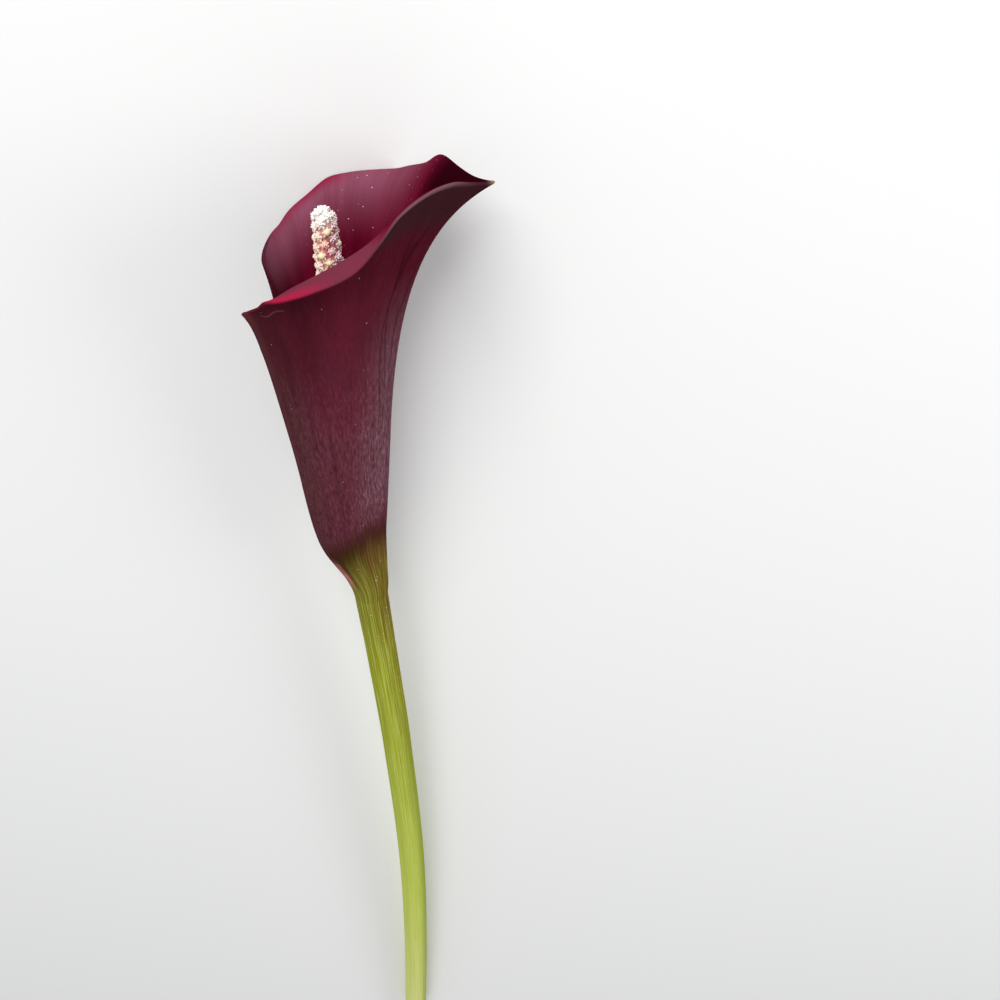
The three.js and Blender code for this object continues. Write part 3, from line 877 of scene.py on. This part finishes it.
def floret_material():
    paint = Paint("florets", Specular_IOR_Level=0.1)
    tip = paint.mask("tip")
    cream = paint.over(FLORET_CREAM, FLORET_PINK, "chance")
    # Painted shade on the side that faces the tip
    cream = paint.over(cream, FLORET_SHADE, "shade")
    cream = paint.over(cream, FLORET_CREAM, paint.span(tip, (0.6, 1.0), (0.0, 0.4)))
    root = paint.over(FLORET_CREAM, FLORET_ROOT, "rooted")
    root = paint.over(root, FLORET_GAP, "front")
    colour = paint.over(root, cream, paint.span(tip, (0.05, 0.5)))
    colour = paint.over(colour, FLORET_BLOB, "blob")
    grit = paint.mottle(0.16)
    return paint.finish(colour, paint.span(grit, NOISE, (0.5, 0.7)), paint.bump(grit, 0.02 * MM))


def edge_rows(count, width):
    """Shares from 0 to 1, even at first and then crowding into the rounded edge."""
    even = np.linspace(0, 1 - width, count, endpoint=False)
    return np.concatenate([even, 1 - width * np.array(EDGE_STEPS[::-1])])


def rib_relief(turn, z, way):
    """Height of the fine lengthwise ribs on the outside."""
    ribs = np.zeros_like(turn)
    for count, share, phase, sway, length in RIBS:
        ribs += share * np.cos(np.radians(turn * count) + phase + sway * np.sin(z / length))
    held = rise(z, FOOT, FOOT + RIB_FOOT) * rise(way, 1, 1 - RIB_RIM)
    return RIB_HEIGHT * ribs * held


def crease_relief(turn, z):
    """Share of the full depth that the creases on the outside have."""
    crease = np.zeros_like(turn)
    for line in CREASES:
        low = line[0][0]
        high = line[-1][0]
        reach = rise(z, low + CREASE_START[0], low + CREASE_START[1])
        reach *= rise(z, high + CREASE_END[1], high + CREASE_END[0])
        middle = station_curve(line, 1)(z)
        crease = np.maximum(crease, reach * np.exp(-(((turn - middle) / CREASE_WIDTH) ** 2)))
    return crease


def spathe_masks(turn, z, way, crease):
    """Where on the sheet each tint shows."""
    # Painted sheen: its turns lean further round as it goes up
    start, full, fade, end = SHEEN_TURNS
    sheen = window(turn, start + SHEEN_LEANS[0] * z, full + SHEEN_LEANS[1] * z, fade, end)
    later = GLOW_NARROWS * (np.clip(turn, *NARROW_TURNS) - NARROW_TURNS[0])
    masks = {
        "turn": turn,
        "height": z,
        "browned": browned_of(turn),
        "shaded_side": shaded_side_of(turn),
        "fade": z - FADE_HEIGHT - FADE_SWING * np.cos(np.radians(turn - FADE_TURN)),
        "crease": crease,
        "sheen": sheen * window(z, *SHEEN_HEIGHTS),
        "rim_glow": window(turn, *GLOW_TURNS) * rise(way - later, *GLOW_WAYS),
    }
    for name, (turns, heights, strength) in HEIGHT_TINTS.items():
        masks[name] = window(turn, *turns) * window(z, *heights) * strength
    for name, (turns, ways, strength) in RIM_TINTS.items():
        masks[name] = window(turn, *turns) * rise(way, *ways) * strength
    masks["edge_highlight"] += masks.pop("tip_edge_highlight")
    flat = {name: values.ravel() for name, values in masks.items()}
    flat["grain"] = grain_of(turn, z).reshape(-1, 3)
    return flat


def make_spathe():
    half_sides = edge_rows(COLUMNS // 2, EDGE_SIDE)
    sides = np.concatenate([-half_sides[:0:-1], half_sides])
    tube = np.linspace(0, LIMB_SHARE, TUBE_ROWS, endpoint=False)
    limb = LIMB_SHARE + (1 - LIMB_SHARE) * edge_rows(LIMB_ROWS, EDGE_WAY / (1 - LIMB_SHARE))
    ways = np.concatenate([tube, limb])
    side, way = np.meshgrid(sides, ways, indexing="ij")
    middle, turn = sheet_points(side, way)
    z = middle[..., 2]

    # The sheet's two faces meet in a rounded edge at the rim and at both margins.
    to_edge = np.minimum((1 - way) / EDGE_WAY, (1 - abs(side)) / EDGE_SIDE)
    rounding = np.sqrt(1 - (1 - np.clip(to_edge, 0, 1)) ** 2)
    half = sheet_thickness(way) / 2 * rounding
    crease = crease_relief(turn, z)
    relief = rib_relief(turn, z, way) - CREASE_DEPTH * crease
    normals = sheet_normals(side, way)
    outer = middle + normals * (half + relief * rounding)[..., None]
    inner = middle - normals * half[..., None]

    # One strip of faces closes the foot.
    columns, rows = side.shape
    points = np.concatenate([outer.reshape(-1, 3), inner.reshape(-1, 3)])
    count = columns * rows
    faces = grid_faces(columns, rows) + grid_faces(columns, rows, count, flipped=True)
    for column in range(columns - 1):
        low = column * rows
        faces.append((count + low, count + low + rows, low + rows, low))

    masks = spathe_masks(turn, z, way, crease)
    both = {name: np.concatenate([values, values]) for name, values in masks.items()}
    at_edge = 0.5 * (1 - rounding.ravel())
    both["inside"] = np.concatenate([at_edge, 1 - at_edge])
    both["place"] = points
    weld(mesh_piece("spathe_petal", points, faces, both, spathe_material(), "spathe"))


def stalk_rings():
    """Height, radius and share of the full radius of each ring: those of the cut's face, then upward."""
    shoulder, shoulder_radius = STALK_TOP[0]
    cut = [(-STALK_LENGTH, STALK_RADIUS * share, share) for share in CUT_RINGS]
    heights = np.linspace(-STALK_LENGTH, shoulder, STALK_RINGS, endpoint=False)
    swell = rise(heights, shoulder - STALK_SWELL, shoulder)
    radii = STALK_RADIUS + (shoulder_radius - STALK_RADIUS) * swell
    side = [(z, radius, 1.0) for z, radius in zip(heights, radii)]
    top = [(z, radius, 1.0) for z, radius in STALK_TOP]
    return np.array(cut + side + top).T


def make_stalk():
    turn = 2 * math.pi * np.arange(STALK_SIDES) / STALK_SIDES
    heights, radii, radial = stalk_rings()
    is_cut = np.arange(len(heights)) < len(CUT_RINGS)
    dish = np.where(is_cut, DISH_DEPTH * rise(radial, *DISH_SHARES), 0.0)
    lean = math.tan(math.radians(CUT_SLANT)) * rise(heights, -STALK_LENGTH + CUT_BLEND, -STALK_LENGTH)
    ridges = sum(share * np.cos(count * turn + phase) for count, share, phase in RIDGES)
    ridge = RIDGE_HEIGHT * window(heights, *RIDGE_REACH) * (1 + RIDGE_SWAY * np.sin(heights / RIDGE_WAVE))
    ring_radii = radii[:, None] + ridge[:, None] * ridges
    x = stalk_bow(heights)[:, None] + ring_radii * np.cos(turn)
    y = ring_radii * np.sin(turn)
    z = (heights + dish)[:, None] - lean[:, None] * y
    rings = np.stack([x, y, z], axis=-1).reshape(-1, 3)
    points = np.concatenate([rings, [(0.0, 0.0, heights[-1])]])
    faces = ring_faces(len(heights), STALK_SIDES)
    faces += fan_faces(len(rings) - STALK_SIDES, STALK_SIDES, len(rings))

    along = np.append(np.repeat(heights, STALK_SIDES), heights[-1])
    turns = np.append(np.tile(np.degrees(turn), len(heights)), 0.0)
    masks = {
        "height": along,
        "browned": browned_of(turns),
        "shaded_side": shaded_side_of(turns),
        "grain": grain_of(turns, along),
        "place": points,
        "radial": np.append(np.repeat(radial, STALK_SIDES), 1.0),
        "cut": np.append(np.repeat(is_cut.astype(float), STALK_SIDES), 0.0),
    }
    weld(mesh_piece("stalk", points, faces, masks, stalk_material(), "stem"))


def core_radius(z):
    side = SPADIX_CORE - SPADIX_TAPER * rise(z, *TAPER_HEIGHTS)
    up = np.clip((z - DOME_BASE) / SPADIX_DOME, 0, 1)
    return side * np.sqrt(np.clip(1 - up**2, 0, 1))


def front_share(turn, z):
    return np.exp(-(((turn - FRONT_TURN) / FRONT_WIDTH) ** 2)) * window(z, *FRONT_HEIGHTS)


def below_crown(z):
    return rise(z, SPADIX_TOP - CROWN_DEPTHS[0], SPADIX_TOP - CROWN_DEPTHS[1])


def floret_places():
    """Root and outward direction of each floret, on an even spiral down the core: each is one golden
    turn on, and down by its share of the surface."""
    places = []
    step = 0.01
    z = SPADIX_TOP - LOBE_LENGTH - CROWN_GAP
    turn = math.radians(CROWN_TURN)
    while z > SPADIX_FOOT + FLORET_FOOT:
        radius = float(core_radius(z))
        slope = float(core_radius(z + step) - core_radius(z - step)) / (2 * step)
        out = Vector((math.cos(turn), math.sin(turn), -slope)).normalized()
        places.append((Vector((SPADIX_X + radius * math.cos(turn), radius * math.sin(turn), z)), out))
        z -= FLORET_SPACING**2 / (2 * math.pi * max(radius, LEAST_RADIUS) * math.hypot(1, slope))
        turn -= GOLDEN_TURN
    return places


def lobe():
    """Points and faces of a pointed lobe of length 1 that stands on its root, along Z."""
    rings = [ring_points(width, share, LOBE_SIDES) for share, width in LOBE_OUTLINE]
    points = np.concatenate(rings + [[(0.0, 0.0, 1.0)]])
    last = len(points) - 1
    faces = ring_faces(len(rings), LOBE_SIDES) + fan_faces(last - LOBE_SIDES, LOBE_SIDES, last)
    faces.append(tuple(range(LOBE_SIDES))[::-1])
    return points, faces


def blob():
    """Points and faces of a coarse ball of radius 1."""
    angles = math.pi * np.arange(1, BLOB_BANDS) / BLOB_BANDS
    rings = [ring_points(math.sin(angle), -math.cos(angle), BLOB_SIDES) for angle in angles]
    points = np.concatenate([[(0.0, 0.0, -1.0)]] + rings + [[(0.0, 0.0, 1.0)]])
    last = len(points) - 1
    faces = ring_faces(len(rings), BLOB_SIDES, 1) + fan_faces(1, BLOB_SIDES, 0, flipped=True)
    faces += fan_faces(last - BLOB_SIDES, BLOB_SIDES, last)
    return points, faces


class Pile:
    """Points, faces and masks of many small forms, to be one mesh."""

    def __init__(self):
        self.points = []
        self.faces = []
        self.masks = {}
        self.count = 0

    def add(self, points, faces, **masks):
        self.points.append(points)
        self.faces += [tuple(self.count + i for i in face) for face in faces]
        for name, value in masks.items():
            self.masks.setdefault(name, []).append(np.broadcast_to(value, len(points)))
        self.count += len(points)


def add_core(pile):
    """The spadix's core: a slim column with a domed top, closed at both ends."""
    dome = DOME_BASE + SPADIX_DOME * np.sin(np.linspace(*DOME_ANGLES, DOME_RINGS))
    heights = np.concatenate([np.linspace(SPADIX_FOOT, DOME_BASE, CORE_RINGS), dome])
    rings = [ring_points(core_radius(z), z, CORE_SIDES, SPADIX_X) for z in heights]
    ends = [(SPADIX_X, 0.0, heights[0]), (SPADIX_X, 0.0, heights[-1] + DOME_CAP)]
    points = np.concatenate(rings + [ends])
    last = len(points) - 1
    faces = ring_faces(len(rings), CORE_SIDES) + fan_faces(0, CORE_SIDES, last - 1, flipped=True)
    faces += fan_faces(last - 1 - CORE_SIDES, CORE_SIDES, last)
    front = front_share(np.degrees(np.arctan2(points[:, 1], points[:, 0] - SPADIX_X)), points[:, 2])
    rooted = below_crown(points[:, 2])
    pile.add(points, faces, tip=0.0, chance=0.5, shade=0.0, front=front, rooted=rooted, blob=0.0)


def add_floret(pile, draw, root, out, picked):
    """One floret: a star of pointed lobes, or a round head with only its outer lobes or none."""
    upright = out.to_track_quat("Z", "X").to_matrix()
    tinted = float(below_crown(root.z))
    at_front = float(front_share(math.degrees(math.atan2(out.y, out.x)), root.z))
    tints = {
        "chance": tinted * (CHANCE_LEAST + (1 - CHANCE_LEAST) * draw.random()),
        "shade": SHADE_MOST * float(rise(out.x, *SHADE_FACING)) * tinted,
        "front": at_front,
        "rooted": tinted,
    }
    spin = 2 * math.pi * draw.random()
    rings = LOBE_RINGS
    if root.z < FEMALE_TOP or picked and root.z < BLOB_TOP:
        form, faces = blob()
        radius = BLOB_RADIUS * draw.uniform(*BLOB_SIZES) * (FEMALE_SIZE if root.z < FEMALE_TOP else 1.0)
        squashed = np.array([draw.uniform(SQUASH_LEAST, most) for most in SQUASH_MOST])
        points = form * squashed * radius + np.array([0, 0, radius * BLOB_LIFT])
        pile.add(points @ np.array(upright).T + np.array(root), faces, tip=1.0, blob=1.0, **tints)
        rings = [] if root.z < FEMALE_TOP else LOBE_RINGS[-1:]

    form, faces = lobe()
    tip = np.clip(form[:, 2], 0, 1) * (1 - FRONT_PALE * at_front)
    size = LOBE_LENGTH * (1 - FRONT_SIZE * at_front)
    for count, lean, share in rings:
        spin += RING_SPIN
        for k in range(count):
            tilt = math.radians(lean + draw.uniform(-LOBE_JITTER, LOBE_JITTER))
            around = spin + 2 * math.pi * k / count + draw.uniform(-SPIN_JITTER, SPIN_JITTER)
            length = size * share * draw.uniform(LOBE_SHORTEST, 1.0)
            turned = upright @ Matrix.Rotation(around, 3, "Z") @ Matrix.Rotation(tilt, 3, "Y")
            points = form * np.array([LOBE_THICK, LOBE_WIDE, length])
            pile.add(points @ np.array(turned).T + np.array(root), faces, tip=tip, blob=0.0, **tints)


def make_spadix():
    draw = np.random.default_rng(SPADIX_SEED)
    pile = Pile()
    add_core(pile)
    places = floret_places()
    has_blob = np.random.default_rng(BLOB_SEED).random(len(places)) < BLOB_SHARE
    for (root, out), picked in zip(places, has_blob):
        add_floret(pile, draw, root, out, picked)
    points = np.concatenate(pile.points)
    masks = {name: np.concatenate(values) for name, values in pile.masks.items()}
    masks["place"] = points
    mesh_piece("spadix_florets", points, pile.faces, masks, floret_material(), "spadix")


def make_camera():
    pitch = math.radians(EYE_PITCH)
    right = (1, 0, 0)
    up = (0, math.sin(pitch), math.cos(pitch))
    back = (0, -math.cos(pitch), math.sin(pitch))
    turned = Matrix(LAY_ROTATION.tolist()) @ Matrix((right, up, back)).transposed()
    data = bpy.data.cameras.new("camera")
    data.lens = LENS
    data.sensor_width = LENS
    camera = bpy.data.objects.new("camera", data)
    camera.matrix_world = Matrix.Translation(lay(np.array(EYE)).tolist()) @ turned.to_4x4()
    bpy.context.scene.collection.objects.link(camera)
    bpy.context.scene.camera = camera


def area_light(name, place, size, power):
    """Round light that points at the bloom."""
    data = bpy.data.lights.new(name, "AREA")
    data.shape = "DISK"
    data.size = size
    data.energy = power
    light = bpy.data.objects.new(name, data)
    light.location = place
    light.rotation_euler = (Vector(BLOOM) - Vector(place)).to_track_quat("-Z", "Y").to_euler()
    bpy.context.scene.collection.objects.link(light)


def make_stage():
    bpy.ops.mesh.primitive_plane_add(size=FLOOR_SIZE)
    floor = bpy.context.object
    floor.name = "floor"
    floor.data.materials.append(Paint("floor", Base_Color=FLOOR_PALE, Roughness=0.7).material)

    world = bpy.data.worlds.new("studio")
    world.use_nodes = True
    sky = world.node_tree.nodes["Background"]
    sky.inputs["Color"].default_value = SKY
    sky.inputs["Strength"].default_value = SKY_STRENGTH
    bpy.context.scene.world = world
    for light in LIGHTS:
        area_light(*light)
    bpy.context.scene.view_settings.view_transform = "Standard"


make_camera()
make_stage()
make_stalk()
make_spathe()
make_spadix()
